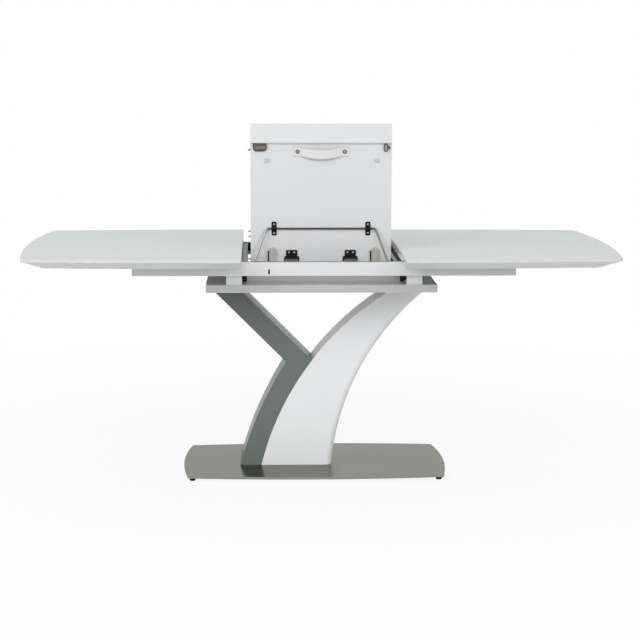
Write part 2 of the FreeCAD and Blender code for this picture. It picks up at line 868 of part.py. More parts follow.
wire_end = side_inner + side_wall + wire_reach
foot_xs = (frame_shift - wire_end, -bail_foot_x, bail_foot_x, frame_shift + wire_end)
feet = [Vector(x, pivot_y, pivot_z) for x in foot_xs]
tops = [Vector(x, clip_y, clip_z) for x in (-bail_top_x, bail_top_x)]
bail_points = feet[:2] + tops + feet[2:]
bail_path = bent_path(bail_points, bail_bend)
bail_section = Part.Wire(Part.makeCircle(wire_radius, bail_points[0], AXIS_X))
bail_wire = bail_path.makePipeShell([bail_section], True, False)
save(bail_wire, "bail_wire")
print("bail volume ratio", bail_wire.Volume / (math.pi * wire_radius ** 2 * bail_path.Length))


# Guide blocks and bars
def guide(x0):
    """Guide block with an arched top."""
    arch = guide_width / 2
    shoulder = guide_high - arch
    block = FRONT.block(x0, x0 + guide_width, -guide_thick, 0, guide_low, shoulder)
    cap = rod(arch, FRONT.at(x0 + arch, -guide_thick, shoulder), FRONT.at(x0 + arch, 0, shoulder))
    return block.fuse(cap).removeSplitter()


save(guide(guide_left_x), "guide_left")
save(guide(guide_right_x), "guide_right")
bars = []
for gx in (guide_left_x, guide_right_x):
    bars.append(FRONT.block(gx - guide_bar_width, gx, -guide_bar_thick, 0, guide_low, guide_bar_high))
save(Part.makeCompound(bars), "guide_bars")


# Pull strap: a band that bulges off the board and sags between its screws
def strap_station(x):
    """Closed section of the strap at one place along it."""
    share = min(1.0, abs(x) / (strap_screw_x - strap_pad))
    lift = strap_bulge * (1 + math.cos(math.pi * share)) / 2
    fall = strap_sag * (1 + math.cos(math.pi * share)) / 2
    low = strap_height - fall * strap_low_share - strap_wide / 2
    high = strap_height - fall + strap_wide / 2
    corners = [FRONT.at(x, -lift, low), FRONT.at(x, -lift - strap_thick, low),
               FRONT.at(x, -lift - strap_thick, high), FRONT.at(x, -lift, high)]
    return Part.makePolygon(corners + [corners[0]])


strap_xs = [(strap_screw_x - strap_pad) * (2 * i / strap_steps - 1) for i in range(strap_steps + 1)]
strap_sections = [strap_station(x) for x in [-strap_half] + strap_xs + [strap_half]]
strap = Part.makeLoft(strap_sections, True, True)
washers = []
for sx in (-strap_screw_x, strap_screw_x):
    screw, shank = face_screw(FRONT, sx, strap_height, strap_thick + washer_thick)
    front_screws.append(screw)
    washer_under = FRONT.at(sx, -strap_thick, strap_height)
    washer_top = FRONT.at(sx, -strap_thick - washer_thick, strap_height)
    washers.append(rod(washer_radius, washer_under, washer_top).cut(shank))
    strap = strap.cut(shank)
    front_board = front_board.cut(shank)
save(strap, "pull_strap")
save(Part.makeCompound(washers), "strap_washers")


# Latch with a turning lever, catch and screw covers
latch_plate = FRONT.block(latch_x0, latch_x0 + latch_long, -latch_thick, 0, latch_low, latch_low + latch_tall)
latch_mid = spine_height + latch_low + latch_tall / 2
latch_plate = rounded(latch_plate, latch_round, lambda e: runs_along(e, AXIS_Y) and middle(e).z < latch_mid)
pivot_in = FRONT.at(lever_pivot_x, lever_pin_deep - latch_thick, lever_pivot_height)
pivot_out = FRONT.at(lever_pivot_x, -latch_thick - lever_gap - lever_thick, lever_pivot_height)
latch_pin = rod(lever_pin_radius, pivot_in, pivot_out)
save(latch_plate.cut(latch_pin).fuse(latch_pin).removeSplitter(), "latch_base")

lever_low = -latch_thick - lever_gap - lever_thick
lever_high = -latch_thick - lever_gap
lever = FRONT.block(lever_pivot_x, lever_pivot_x + lever_long - lever_half, lever_low, lever_high,
                    lever_pivot_height - lever_half, lever_pivot_height + lever_half)
for lx, lr in ((lever_pivot_x, lever_boss), (lever_pivot_x + lever_long - lever_half, lever_half)):
    lobe_low = FRONT.at(lx, lever_low, lever_pivot_height)
    lever = lever.fuse(rod(lr, lobe_low, FRONT.at(lx, lever_high, lever_pivot_height)))
lever = lever.cut(rod(lever_pin_radius + running_fit, pivot_in, pivot_out - AXIS_Y * past))
save(lever.removeSplitter(), "latch_lever")

catch_low = lever_pivot_height - catch_tall / 2
ring_r = catch_wide / 2
catch_cx = catch_x0 + ring_r


def race(radius, d0, d1):
    """Upright racetrack solid of the catch."""
    lo = catch_low + ring_r
    hi = catch_low + catch_tall - ring_r
    body = FRONT.block(catch_cx - radius, catch_cx + radius, d0, d1, lo, hi)
    for u in (lo, hi):
        body = body.fuse(rod(radius, FRONT.at(catch_cx, d0, u), FRONT.at(catch_cx, d1, u)))
    return body


catch_ring = race(ring_r, -catch_high, 0).cut(race(ring_r - catch_wall, -catch_high - past, past))
catch_foot = FRONT.block(catch_cx + ring_r - catch_wall / 2, catch_knob_x, -catch_base, 0,
                         lever_pivot_height - catch_knob_radius, lever_pivot_height + catch_knob_radius)
knob_top = FRONT.at(catch_knob_x, -catch_high - past, lever_pivot_height)
catch_knob = rod(catch_knob_radius, knob_top, FRONT.at(catch_knob_x, 0, lever_pivot_height))
save(catch_ring.fuse([catch_foot, catch_knob]).removeSplitter(), "catch")

covers = []
for cx in (cover_left_x, cover_right_x):
    dome = rod(cover_radius, FRONT.at(cx, -cover_thick, cover_height), FRONT.at(cx, 0, cover_height))
    covers.append(rounded(dome, cover_dome, lambda e: abs(middle(e).y - leaf_face + cover_thick) < running_fit))
save(Part.makeCompound(covers), "screw_covers")

save(front_board, "leaf_front_board")
save(back_board, "leaf_back_board")
save(leaf_glass(FRONT), "leaf_front_glass")
save(leaf_glass(BACK), "leaf_back_glass")
save(Part.makeCompound(front_screws), "leaf_front_screws")
save(Part.makeCompound(back_screws), "leaf_back_screws")

print("pivot", pivot_y, pivot_z, "clip", clip_y, clip_z, "flat", flat_y, flat_z)
print("fold", fold_axis(FRONT, 0))
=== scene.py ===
"""Looks for an extending dining table with sliding glass halves and a folding leaf.

The CAD frame gives every rigid piece its shape. This file gives each one its finish, makes the soft
pull strap and its stitching, and sets a plain studio with the camera of the photograph.
"""
import logging
import math
from dataclasses import dataclass, field
from enum import Enum
from typing import Iterable, Mapping, Protocol

import bpy
import numpy as np
from mathutils import Matrix, Vector


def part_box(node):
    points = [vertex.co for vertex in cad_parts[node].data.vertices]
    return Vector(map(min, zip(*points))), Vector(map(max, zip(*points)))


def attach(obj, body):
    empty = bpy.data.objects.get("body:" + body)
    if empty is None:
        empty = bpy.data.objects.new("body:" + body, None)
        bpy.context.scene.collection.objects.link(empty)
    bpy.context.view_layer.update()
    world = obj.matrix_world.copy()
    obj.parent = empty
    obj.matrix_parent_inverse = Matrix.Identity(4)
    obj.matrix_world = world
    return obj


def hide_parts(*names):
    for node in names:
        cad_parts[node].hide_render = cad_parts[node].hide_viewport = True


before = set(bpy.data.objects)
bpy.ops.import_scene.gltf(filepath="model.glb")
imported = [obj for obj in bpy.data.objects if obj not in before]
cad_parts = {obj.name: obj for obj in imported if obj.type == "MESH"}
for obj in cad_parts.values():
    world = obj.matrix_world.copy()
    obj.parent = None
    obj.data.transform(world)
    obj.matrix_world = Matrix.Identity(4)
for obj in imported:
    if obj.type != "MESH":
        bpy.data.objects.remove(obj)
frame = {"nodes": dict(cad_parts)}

log = logging.getLogger("table")
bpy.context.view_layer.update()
Colour = tuple[float, float, float]
Place = tuple[float, float, float]
Node = bpy.types.Node
Socket = bpy.types.NodeSocket
Tree = bpy.types.NodeTree
Material = bpy.types.Material

# Types of the group sockets
VECTOR = "NodeSocketVector"
VALUE = "NodeSocketFloat"

# Places of the colour sockets on the Mix node, whose socket names repeat for each kind of data
MIX_MASK = 0
MIX_FIRST = 6
MIX_SECOND = 7
MIX_RESULT = 2

OPAQUE = 1.0
HALF = 0.5
WHITE = (1.0, 1.0, 1.0, OPAQUE)
DUST: Colour = (0.62, 0.60, 0.57)
# attribute that marks where painted shade darkens the strap's rims
PAINTED_RIM_SHADE = "painted_rim_shade"

# Noise cells per metre along and across a brushed grain
ALONG_GRAIN = 6.0
ACROSS_GRAIN = 900.0


class Grain(Enum):
    """Direction in which metal was brushed or drawn, as noise cells per metre in x, y and z."""

    ALONG_X = (ALONG_GRAIN, ACROSS_GRAIN, ACROSS_GRAIN)
    ALONG_Y = (ACROSS_GRAIN, ALONG_GRAIN, ACROSS_GRAIN)


class FaceAxis(Enum):
    """Axis that a sheet's two broad faces look along."""

    Y = "Y"
    Z = "Z"


class Effect(Enum):
    """Names of the shared shader effects."""

    RIPPLE = "lacquer_ripple"
    BRUSH = "brush_grain"
    DUST = "dust_veil"
    PEBBLE = "moulded_pebble"


def shade(colour: Colour, share: float) -> Colour:
    """Darken or lighten a colour by a share."""
    return tuple(min(1.0, part * share) for part in colour)


class Graph:
    """Thin helper that adds and wires nodes in one tree."""

    def __init__(self, tree: Tree) -> None:
        """Keep the tree and empty it."""
        self.tree = tree
        tree.nodes.clear()

    def add(self, kind: str, values: Mapping[str, object] | None = None,
            **settings: object) -> Node:
        """Add one node.

        Args:
            kind: Blender's node type.
            values: constants for named input sockets.
            settings: attributes of the node itself.

        Returns:
            The new node.
        """
        node = self.tree.nodes.new(kind)
        for name, value in settings.items():
            setattr(node, name, value)
        for name, value in (values or {}).items():
            node.inputs[name].default_value = value
        return node

    def wire(self, start: Socket, end: Socket) -> None:
        """Join two sockets."""
        self.tree.links.new(start, end)

    def feed(self, target: Socket, value: Socket | float | Colour) -> None:
        """Wire a socket into an input, or set the input's own constant.

        Args:
            target: the input.
            value: a socket, a number or a colour.
        """
        if isinstance(value, Socket):
            self.wire(value, target)
        elif isinstance(value, tuple):
            target.default_value = (*value, OPAQUE)
        else:
            target.default_value = value

    def mix(self, mask: Socket, first: Socket | Colour, second: Colour) -> Socket:
        """Blend two colours by a mask.

        Args:
            mask: 0 gives the first colour, 1 the second.
            first: colour at mask 0, or its socket.
            second: colour at mask 1.

        Returns:
            The blended colour's socket.
        """
        node = self.add("ShaderNodeMix", data_type="RGBA")
        self.wire(mask, node.inputs[MIX_MASK])
        self.feed(node.inputs[MIX_FIRST], first)
        self.feed(node.inputs[MIX_SECOND], second)
        return node.outputs[MIX_RESULT]

    def ramp(self, value: Socket, start: float = 0.0, end: float = 1.0,
             low: float = 0.0, high: float = 1.0) -> Socket:
        """Map a value from one range to another, held at both ends.

        Args:
            value: socket of the value.
            start: value that gives low.
            end: value that gives high.
            low: result at the start and before it.
            high: result at the end and past it.

        Returns:
            The mapped value's socket.
        """
        limits = {"From Min": start, "From Max": end, "To Min": low, "To Max": high}
        node = self.add("ShaderNodeMapRange", limits)
        self.wire(value, node.inputs["Value"])
        return node.outputs["Result"]

    def maths(self, kind: str, first: Socket, second: Socket | float = 0.0) -> Socket:
        """Combine two values, or work on the first alone.

        Args:
            kind: operation name.
            first: left value.
            second: right value, a socket or a number.

        Returns:
            The result's socket.
        """
        node = self.add("ShaderNodeMath", operation=kind)
        self.wire(first, node.inputs[0])
        self.feed(node.inputs[1], second)
        return node.outputs[0]

    def noise(self, place: Socket, scale: Socket | float, detail: float,
              roughness: float = 0.5) -> Socket:
        """Add a cloudy noise.

        Args:
            place: where the noise is read.
            scale: cells per metre, a socket or a number.
            detail: number of finer layers.
            roughness: weight of the finer layers.

        Returns:
            The noise value's socket.
        """
        node = self.add("ShaderNodeTexNoise", {"Detail": detail, "Roughness": roughness})
        self.wire(place, node.inputs["Vector"])
        self.feed(node.inputs["Scale"], scale)
        return node.outputs["Fac"]

    def split(self, vector: Socket) -> Node:
        """Split a vector into its parts.

        Args:
            vector: socket of the vector.

        Returns:
            The node whose outputs are X, Y and Z.
        """
        node = self.add("ShaderNodeSeparateXYZ")
        self.wire(vector, node.inputs[0])
        return node

    def blend(self, mask: Socket, first: Node, second: Node, out: Node) -> None:
        """Mix two shaders by a mask and send the mix to the tree's output.

        Args:
            mask: 0 gives the first shader, 1 the second.
            first: shader at mask 0.
            second: shader at mask 1.
            out: the tree's output node.
        """
        node = self.add("ShaderNodeMixShader")
        for start, end in zip((mask, first.outputs[0], second.outputs[0]), node.inputs):
            self.wire(start, end)
        self.wire(node.outputs[0], out.inputs["Surface"])


@dataclass
class EffectLibrary:
    """Shader node groups that several finishes share, each built once."""

    made: dict[Effect, Tree] = field(default_factory=dict)

    def get(self, effect: Effect) -> Tree:
        """Return a group, building it on first use.

        Args:
            effect: which effect is wanted.

        Returns:
            The shader node group.
        """
        if effect not in self.made:
            builders = {Effect.RIPPLE: self._ripple, Effect.BRUSH: self._brush,
                        Effect.DUST: self._dust, Effect.PEBBLE: self._pebble}
            self.made[effect] = builders[effect]()
        return self.made[effect]

    @staticmethod
    def _start(effect: Effect, inputs: Mapping[str, str],
               outputs: Iterable[str]) -> tuple[Graph, Node, Node]:
        """Make an empty group with named sockets.

        Args:
            effect: the group's name.
            inputs: socket names and their types.
            outputs: names of the value outputs.

        Returns:
            The graph, its input node and its output node.
        """
        tree = bpy.data.node_groups.new(effect.value, "ShaderNodeTree")
        graph = Graph(tree)
        for name, kind in inputs.items():
            tree.interface.new_socket(name=name, in_out="INPUT", socket_type=kind)
        for name in outputs:
            tree.interface.new_socket(name=name, in_out="OUTPUT", socket_type=VALUE)
        return graph, graph.add("NodeGroupInput"), graph.add("NodeGroupOutput")

    def _ripple(self) -> Tree:
        """Sprayed lacquer: a fine even ripple and a slow drift of tone.

        Returns:
            The shader node group.
        """
        sockets = {"Place": VECTOR, "Scale": VALUE}
        graph, given, result = self._start(Effect.RIPPLE, sockets, ("Height", "Tone"))
        place = given.outputs["Place"]
        fine = graph.noise(place, scale=given.outputs["Scale"], detail=1.5, roughness=0.45)
        slow = graph.noise(place, scale=2.6, detail=3.0, roughness=0.55)
        graph.wire(fine, result.inputs["Height"])
        graph.wire(slow, result.inputs["Tone"])
        return graph.tree

    def _brush(self) -> Tree:
        """Brushed metal: long fine streaks, alone and blended evenly with broader cloudy bands.

        Returns:
            The shader node group.
        """
        sockets = {"Stretched Place": VECTOR, "Place": VECTOR}
        graph, given, result = self._start(Effect.BRUSH, sockets, ("Streak", "Blend"))
        streak = graph.noise(given.outputs["Stretched Place"], scale=1.0, detail=4.0, roughness=0.62)
        cloud = graph.noise(given.outputs["Place"], scale=3.4, detail=2.0, roughness=0.5)
        graph.wire(streak, result.inputs["Streak"])
        both = graph.maths("ADD", streak, cloud)
        graph.wire(graph.maths("MULTIPLY", both, HALF), result.inputs["Blend"])
        return graph.tree

    def _dust(self) -> Tree:
        """Thin dust: broken patches that lie thicker where the surface faces up.

        Returns:
            The shader node group.
        """
        sockets = {"Place": VECTOR, "Upward": VALUE, "Amount": VALUE}
        graph, given, result = self._start(Effect.DUST, sockets, ("Mask",))
        patches = graph.noise(given.outputs["Place"], scale=38.0, detail=5.0, roughness=0.68)
        broken = graph.ramp(patches, start=0.46, end=0.74)
        lie = graph.ramp(given.outputs["Upward"], start=-0.1, end=0.9, low=0.25)
        both = graph.maths("MULTIPLY", broken, lie)
        graph.wire(graph.maths("MULTIPLY", both, given.outputs["Amount"]), result.inputs["Mask"])
        return graph.tree

    def _pebble(self) -> Tree:
        """Moulded or pressed surface: small rounded cells and a drift of tone.

        Returns:
            The shader node group.
        """
        sockets = {"Place": VECTOR, "Scale": VALUE}
        graph, given, result = self._start(Effect.PEBBLE, sockets, ("Height", "Tone"))
        cells = graph.add("ShaderNodeTexVoronoi", {"Smoothness": 0.6}, feature="SMOOTH_F1")
        graph.wire(given.outputs["Place"], cells.inputs["Vector"])
        graph.wire(given.outputs["Scale"], cells.inputs["Scale"])
        graph.wire(cells.outputs["Distance"], result.inputs["Height"])
        drift = graph.noise(given.outputs["Place"], scale=24.0, detail=3.0)
        graph.wire(drift, result.inputs["Tone"])
        return graph.tree


EFFECTS = EffectLibrary()


class Finish(Protocol):
    """Anything that can give a material."""

    name: str

    def material(self) -> Material:
        """Build the finish."""


@dataclass
class Surface:
    """One material under construction: its graph, its shader, its place and its own normal."""

    graph: Graph
    shader: Node
    place: Socket
    facing: Node
    material: Material

    @classmethod
    def start(cls, name: str, **constants: object) -> "Surface":
        """Begin a material with constants set on its shader's own sockets.

        Args:
            name: the finish's name.
            constants: shader inputs, with spaces written as underscores.

        Returns:
            The surface, ready for its patterns.
        """
        material = bpy.data.materials.new(name)
        material.use_nodes = True
        graph = Graph(material.node_tree)
        shader = graph.add("ShaderNodeBsdfPrincipled")
        for key, value in constants.items():
            shader.inputs[key.replace("_", " ")].default_value = value
        out = graph.add("ShaderNodeOutputMaterial")
        graph.wire(shader.outputs["BSDF"], out.inputs["Surface"])
        spot = graph.add("ShaderNodeTexCoord")
        facing = graph.split(spot.outputs["Normal"])
        return cls(graph, shader, spot.outputs["Object"], facing, material)

    def effect(self, effect: Effect, **constants: float) -> Node:
        """Place a shared effect in this material.

        Args:
            effect: which effect.
            constants: its own values, by socket name.

        Returns:
            The group node.
        """
        node = self.graph.add("ShaderNodeGroup")
        node.node_tree = EFFECTS.get(effect)
        self.graph.wire(self.place, node.inputs["Place"])
        for key, value in constants.items():
            node.inputs[key].default_value = value
        return node

    def toned(self, mask: Socket, tone: Colour, low: float, high: float) -> Socket:
        """Vary a tone between two shares of itself by a mask."""
        return self.graph.mix(mask, shade(tone, low), shade(tone, high))

    def dusted(self, colour: Socket, amount: float) -> Socket:
        """Lay thin dust over a colour.

        Args:
            colour: colour below.
            amount: strength of the veil.

        Returns:
            The dusted colour's socket.
        """
        node = self.effect(Effect.DUST, Amount=amount)
        self.graph.wire(self.facing.outputs["Z"], node.inputs["Upward"])
        return self.graph.mix(node.outputs["Mask"], colour, DUST)

    def colour(self, socket: Socket) -> None:
        """Feed the base colour."""
        self.graph.wire(socket, self.shader.inputs["Base Color"])

    def roughness(self, mask: Socket, low: float, high: float) -> None:
        """Vary the roughness between two values by a mask."""
        self.graph.wire(self.graph.ramp(mask, low=low, high=high), self.shader.inputs["Roughness"])

    def bump(self, height: Socket, strength: float, deep: float) -> None:
        """Turn a height into the shader's normal.

        Args:
            height: socket of the height.
            strength: share of the bump that shows.
            deep: depth of the relief in metres.
        """
        node = self.graph.add("ShaderNodeBump", {"Strength": strength, "Distance": deep})
        self.graph.wire(height, node.inputs["Height"])
        self.graph.wire(node.outputs["Normal"], self.shader.inputs["Normal"])


@dataclass(frozen=True)
class Lacquer:
    """Sprayed lacquer on board."""

    name: str
    tone: Colour
    rough: float
    coat: float
    gloss: float = 0.5
    drift: float = 0.035
    dust: float = 0.05
    ripple: float = 420.0
    relief: float = 0.05
    relief_deep: float = 0.0004
    smooth_share: float = 0.8
    rough_share: float = 1.25
    coat_rough: float = 0.08
    ior: float = 1.48

    def material(self) -> Material:
        """Build the lacquer with ripple, drift of tone and thin dust.

        Returns:
            The material.
        """
        s = Surface.start(self.name, Coat_Weight=self.coat, Coat_Roughness=self.coat_rough,
                          IOR=self.ior, Specular_IOR_Level=self.gloss)
        ripple = s.effect(Effect.RIPPLE, Scale=self.ripple)
        drift = ripple.outputs["Tone"]
        s.colour(s.dusted(s.toned(drift, self.tone, 1 - self.drift, 1 + self.drift), self.dust))
        s.roughness(drift, self.rough * self.smooth_share, self.rough * self.rough_share)
        s.bump(ripple.outputs["Height"], self.relief, self.relief_deep)
        return s.material


@dataclass(frozen=True)
class EtchedGlass:
    """Satin glass painted on its back, with paler cut edges."""

    name: str
    face: Colour
    edge: Colour
    axis: FaceAxis
    broad_at: float = 0.95
    edge_at: float = 0.55
    deep_share: float = 0.975
    pale_share: float = 1.02
    dust: float = 0.03
    ripple: float = 900.0
    relief: float = 0.08
    relief_deep: float = 0.0002
    rough_low: float = 0.34
    rough_high: float = 0.46
    coat: float = 0.15
    coat_rough: float = 0.3
    ior: float = 1.5

    def material(self) -> Material:
        """Build the glass: the edge colour shows where a face turns away from the broad sides.

        Returns:
            The material.
        """
        s = Surface.start(self.name, IOR=self.ior, Coat_Weight=self.coat, Coat_Roughness=self.coat_rough)
        ripple = s.effect(Effect.RIPPLE, Scale=self.ripple)
        face = s.toned(ripple.outputs["Tone"], self.face, self.deep_share, self.pale_share)
        broad = s.graph.maths("ABSOLUTE", s.facing.outputs[self.axis.value])
        rim = s.graph.mix(s.graph.ramp(broad, self.broad_at, self.edge_at), face, self.edge)
        s.colour(s.dusted(rim, self.dust))
        s.roughness(ripple.outputs["Height"], self.rough_low, self.rough_high)
        s.bump(ripple.outputs["Height"], self.relief, self.relief_deep)
        return s.material


@dataclass(frozen=True)
class BrushedMetal:
    """Brushed or drawn metal, or metal paint, with a grain direction."""

    name: str
    tone: Colour
    rough: float
    contrast: float
    grain: Grain = Grain.ALONG_X
    metallic: float = 1.0
    dust: float = 0.04
    glance: Colour = (1.0, 1.0, 1.0)
    relief: float = 0.06
    relief_deep: float = 0.0002
    smooth_share: float = 0.75
    rough_share: float = 1.3
    anisotropy: float = 0.35

    def material(self) -> Material:
        """Build the metal with streaks in its colour, roughness and relief.

        Returns:
            The material.
        """
        s = Surface.start(self.name, Metallic=self.metallic, Anisotropic=self.anisotropy,
                          Specular_Tint=(*self.glance, OPAQUE))
        stretch = s.graph.add("ShaderNodeMapping", {"Scale": self.grain.value})
        s.graph.wire(s.place, stretch.inputs["Vector"])
        brush = s.effect(Effect.BRUSH)
        s.graph.wire(stretch.outputs["Vector"], brush.inputs["Stretched Place"])
        tone = s.toned(brush.outputs["Blend"], self.tone, 1 - self.contrast, 1 + self.contrast)
        s.colour(s.dusted(tone, self.dust))
        s.roughness(brush.outputs["Streak"], self.rough * self.smooth_share, self.rough * self.rough_share)
        s.bump(brush.outputs["Streak"], self.relief, self.relief_deep)
        return s.material


@dataclass(frozen=True)
class MidDarkWire:
    """Plated wire, darker between its bends, with a painted reflection: the left leg is painted bright and
    the right leg darker.
    """

    name: str
    left_leg_painted_highlight: Colour
    right_leg_painted_shade: Colour
    middle_dark: Colour
    middle_from: float = 0.166
    middle_to: float = 0.176
    ripple: float = 160.0
    rough_low: float = 0.24
    rough_high: float = 0.36

    def material(self) -> Material:
        """Build the wire: the dark middle ends where the wire bends down, and the legs carry a painted
        reflection, brighter on the left.

        Returns:
            The material.
        """
        s = Surface.start(self.name)
        sideways = s.graph.split(s.place).outputs["X"]
        on_legs = s.graph.ramp(s.graph.maths("ABSOLUTE", sideways), self.middle_from, self.middle_to)
        # painted reflection: the left leg is painted brighter than the right
        painted_reflection_side = s.graph.ramp(sideways, -self.middle_from, self.middle_from)
        plating_and_painted_reflection = s.graph.mix(painted_reflection_side, self.left_leg_painted_highlight, self.right_leg_painted_shade)
        in_middle = s.graph.ramp(on_legs, low=1.0, high=0.0)
        s.colour(s.graph.mix(in_middle, plating_and_painted_reflection, self.middle_dark))
        s.graph.wire(on_legs, s.shader.inputs["Metallic"])
        ripple = s.effect(Effect.RIPPLE, Scale=self.ripple)
        s.roughness(ripple.outputs["Height"], self.rough_low, self.rough_high)
        return s.material


@dataclass(frozen=True)
class Moulded:
    """Moulded plastic or powder coat with a fine pebble."""

    name: str
    tone: Colour
    rough: float
    pebble: float = 900.0
    relief: float = 0.15
    relief_deep: float = 0.0004
    dust: float = 0.04
    gloss: float = 0.5
    deep_share: float = 0.82
    pale_share: float = 1.2
    smooth_share: float = 0.8
    rough_share: float = 1.2
    ior: float = 1.46

    def material(self) -> Material:
        """Build the coat with a pebbled relief and rubbed patches.

        Returns:
            The material.
        """
        s = Surface.start(self.name, IOR=self.ior, Specular_IOR_Level=self.gloss)
        pebble = s.effect(Effect.PEBBLE, Scale=self.pebble)
        drift = pebble.outputs["Tone"]
        s.colour(s.dusted(s.toned(drift, self.tone, self.deep_share, self.pale_share), self.dust))
        s.roughness(drift, self.rough * self.smooth_share, self.rough * self.rough_share)
        s.bump(pebble.outputs["Height"], self.relief, self.relief_deep)
        return s.material


@dataclass(frozen=True)
class BandedRail:
    """Pale coated rail with a black upper band."""

    name: str
    band: Colour
    pale: Colour
    band_low: float
    blur: float = 0.001
    pebble: float = 900.0
    relief: float = 0.12
    relief_deep: float = 0.0004
    gloss: float = 0.03
    deep_share: float = 0.9
    pale_share: float = 1.1
    rough_low: float = 0.4
    rough_high: float = 0.6
    ior: float = 1.46

    def material(self) -> Material:
        """Build the coat: black above the band's lower line, pale below it, with a pebbled relief.

        Returns:
            The material.
        """
        s = Surface.start(self.name, IOR=self.ior, Specular_IOR_Level=self.gloss)
        height = s.graph.split(s.place).outputs["Z"]
        above = s.graph.ramp(height, self.band_low - self.blur, self.band_low + self.blur)
        pebble = s.effect(Effect.PEBBLE, Scale=self.pebble)
        drift = pebble.outputs["Tone"]
        pale = s.toned(drift, self.pale, self.deep_share, self.pale_share)
        s.colour(s.graph.mix(above, pale, self.band))
        s.roughness(drift, self.rough_low, self.rough_high)
        s.bump(pebble.outputs["Height"], self.relief, self.relief_deep)
        return s.material


@dataclass(frozen=True)
class StrapHide:
    """Pale soft strap with a fine hide grain and painted shade along its rims."""

    name: str
    tone: Colour
    edge: Colour
    grain: float = 620.0
    relief: float = 0.35
    relief_deep: float = 0.0006
    dust: float = 0.08
    deep_share: float = 0.86
    pale_share: float = 1.05
    rough_low: float = 0.42
    rough_high: float = 0.62
    sheen: float = 0.2
    sheen_rough: float = 0.5
    ior: float = 1.45

    def material(self) -> Material:
        """Build the hide: creased grain, worn bright ridges, darker pores and painted shade along the rims.

        Returns:
            The material.
        """
        s = Surface.start(self.name, Sheen_Weight=self.sheen, Sheen_Roughness=self.sheen_rough, IOR=self.ior)
        pebble = s.effect(Effect.PEBBLE, Scale=self.grain)
        tone = s.toned(pebble.outputs["Height"], self.tone, self.deep_share, self.pale_share)
        # painted shade: the rims are darkened as if shaded by the strap's own thickness
        rim_shade = s.graph.add("ShaderNodeAttribute", attribute_name=PAINTED_RIM_SHADE)
        s.colour(s.dusted(s.graph.mix(rim_shade.outputs["Fac"], tone, self.edge), self.dust))
        s.roughness(pebble.outputs["Tone"], self.rough_low, self.rough_high)
        s.bump(pebble.outputs["Height"], self.relief, self.relief_deep)
        return s.material


@dataclass
class Palette:
    """Every finish of the table, each made into a material once."""

    made: dict[str, Material] = field(default_factory=dict)

    def get(self, finish: Finish) -> Material:
        """Return the material of a finish.

        Args:
            finish: the finish wanted.

        Returns:
            Its material.
        """
        if finish.name not in self.made:
            self.made[finish.name] = finish.material()
        return self.made[finish.name]


GLASS_FACE: Colour = (0.645, 0.722, 0.697)
GLASS_EDGE: Colour = (0.665, 0.68, 0.68)
TOP_GLASS = EtchedGlass("etched_glass", GLASS_FACE, GLASS_EDGE, FaceAxis.Z)
LEAF_GLASS = EtchedGlass("etched_leaf_glass", GLASS_FACE, GLASS_EDGE, FaceAxis.Y)
BOARD_WHITE = Lacquer("board_white", (0.69, 0.70, 0.71), rough=0.34, coat=0.12, gloss=0.35)
FRAME_WHITE = Lacquer("frame_white", (0.705, 0.722, 0.73), rough=0.38, coat=0.1)
LIMB_WHITE = Lacquer("limb_white", (0.875, 0.885, 0.895), rough=0.36, coat=0.06, gloss=0.12)
LIMB_GREY = Lacquer("limb_grey", (0.154, 0.180, 0.167), rough=0.36, coat=0.06, gloss=0.28,
                    drift=0.06, dust=0.03)
PLATE_SILVER = BrushedMetal("plate_silver", (0.48, 0.482, 0.484), rough=0.46, contrast=0.06, metallic=0.05)
FOOT_STEEL = BrushedMetal("foot_steel", (0.275, 0.278, 0.256), rough=0.24, contrast=0.05,
                          glance=(0.66, 0.665, 0.64))
ZINC_STEEL = BrushedMetal("zinc_steel", (0.52, 0.52, 0.53), rough=0.3, contrast=0.12)
DARK_BRONZE = BrushedMetal("dark_bronze", (0.095, 0.085, 0.07), rough=0.34, contrast=0.3)
WORN_NICKEL = BrushedMetal("worn_nickel", (0.19, 0.18, 0.165), rough=0.26, contrast=0.35)
TURNED_BRASS = BrushedMetal("turned_brass", (0.30, 0.255, 0.20), rough=0.3, contrast=0.18,
                            grain=Grain.ALONG_Y)
# the legs' tones are a painted reflection, bright on the left leg and darker on the right
BAIL_WIRE = MidDarkWire("bail_wire", left_leg_painted_highlight=(0.27, 0.27, 0.275), right_leg_painted_shade=(0.15, 0.15, 0.155),
                        middle_dark=(0.015, 0.015, 0.017))
DARK_COAT = Moulded("dark_coat", (0.16, 0.16, 0.165), rough=0.42, gloss=0.3)
BLACK_COAT = Moulded("black_coat", (0.009, 0.009, 0.010), rough=0.5, dust=0.01, gloss=0.1)
BLACK_RUBBER = Moulded("black_rubber", (0.010, 0.010, 0.010), rough=0.7, pebble=500.0, relief=0.3,
                       dust=0.01, gloss=0.15)
DARK_NYLON = Moulded("dark_nylon", (0.05, 0.05, 0.05), rough=0.55)
BEIGE_NYLON = Moulded("beige_nylon", (0.46, 0.436, 0.37), rough=0.5)
GREY_CAP = Moulded("grey_cap", (0.56, 0.56, 0.57), rough=0.4, pebble=1400.0, relief=0.06)
# the edge colour is painted shade along the strap's rims
STRAP_HIDE = StrapHide("strap_hide", (0.74, 0.735, 0.70), edge=(0.30, 0.285, 0.25))
THREAD = Moulded("strap_thread", (0.60, 0.59, 0.56), rough=0.7, pebble=2000.0, relief=0.3)


@dataclass
class SubAssembly:
    """A group of CAD pieces that are dressed together."""

    palette: Palette
    nodes: Mapping[str, bpy.types.Object]

    def finishes(self) -> dict[str, Finish]:
        """Finish of each CAD piece in this group."""
        return {}

    def dress(self) -> None:
        """Give each CAD piece its material."""
        for name, finish in self.finishes().items():
            mesh = self.nodes[name].data
            mesh.materials.clear()
            mesh.materials.append(self.palette.get(finish))
            log.info("dressed %s with %s", name, finish.name)


